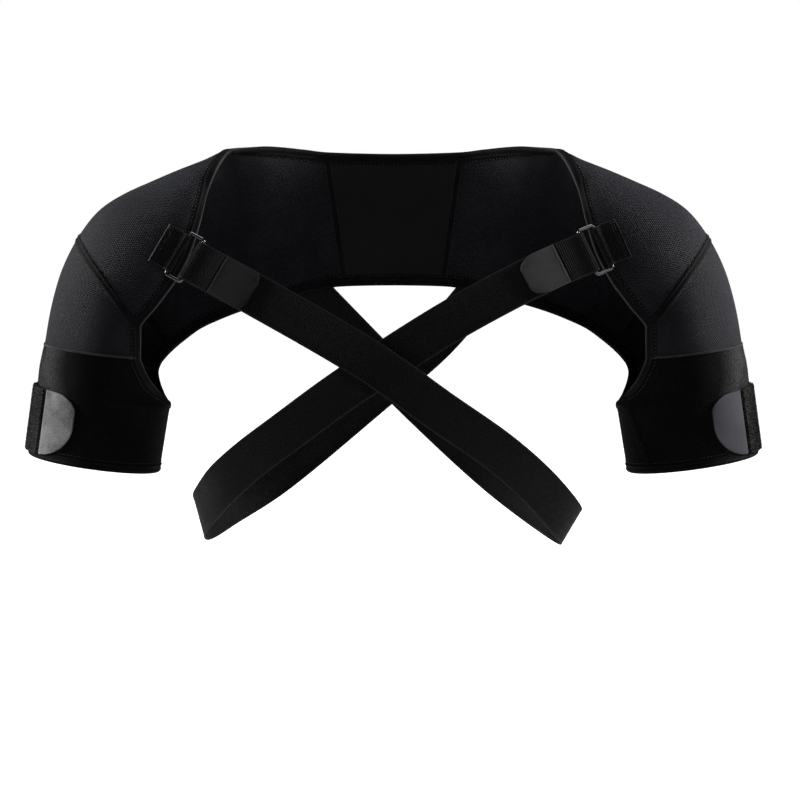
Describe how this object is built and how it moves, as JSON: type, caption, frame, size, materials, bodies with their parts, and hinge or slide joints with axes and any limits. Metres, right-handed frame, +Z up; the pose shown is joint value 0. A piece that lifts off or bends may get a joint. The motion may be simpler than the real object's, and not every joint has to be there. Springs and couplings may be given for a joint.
{
  "type": "shoulder brace",
  "caption": "Two-shoulder support brace: a soft shell over shoulders and upper back, arm cuffs with closures, and chest straps that cross front and back.",
  "frame": {"origin": "middle of the inner face of the back panel, where the brace lies on the wearer's upper back", "axes": "+X to the wearer's left, +Y to the back, +Z up"},
  "size_m": [0.646, 0.2025, 0.3514],
  "materials": {
    "mesh_fabric": "embossed mesh laminate on neoprene",
    "smooth_fabric": "smooth jersey on neoprene",
    "pile_fabric": "brushed loop pile",
    "binding_tape": "fold-over edge tape",
    "elastic_webbing": "ribbed elastic webbing",
    "hook_tape": "smooth backed hook tape",
    "ring_plastic": "gloss"
  },
  "bodies": {
    "root": {"back_panel": "smooth_fabric", "shoulder_panel_right": "mesh_fabric", "shoulder_panel_left": "mesh_fabric", "sleeve_panel_right": "mesh_fabric", "sleeve_panel_left": "mesh_fabric", "arm_cuff_right": "pile_fabric", "arm_cuff_left": "pile_fabric", "edge_binding": "binding_tape", "hem_binding_right": "binding_tape", "hem_binding_left": "binding_tape", "cuff_strap_right": "pile_fabric", "cuff_strap_left": "pile_fabric", "cuff_tab_right": "hook_tape", "cuff_tab_left": "hook_tape", "chest_strap_right": "elastic_webbing", "chest_strap_left": "elastic_webbing", "strap_tab_right": "hook_tape", "strap_tab_left": "hook_tape", "ring_right": "ring_plastic", "ring_left": "ring_plastic", "ring_webbing_right": "elastic_webbing", "ring_webbing_left": "elastic_webbing"}
  },
  "joints": []
}
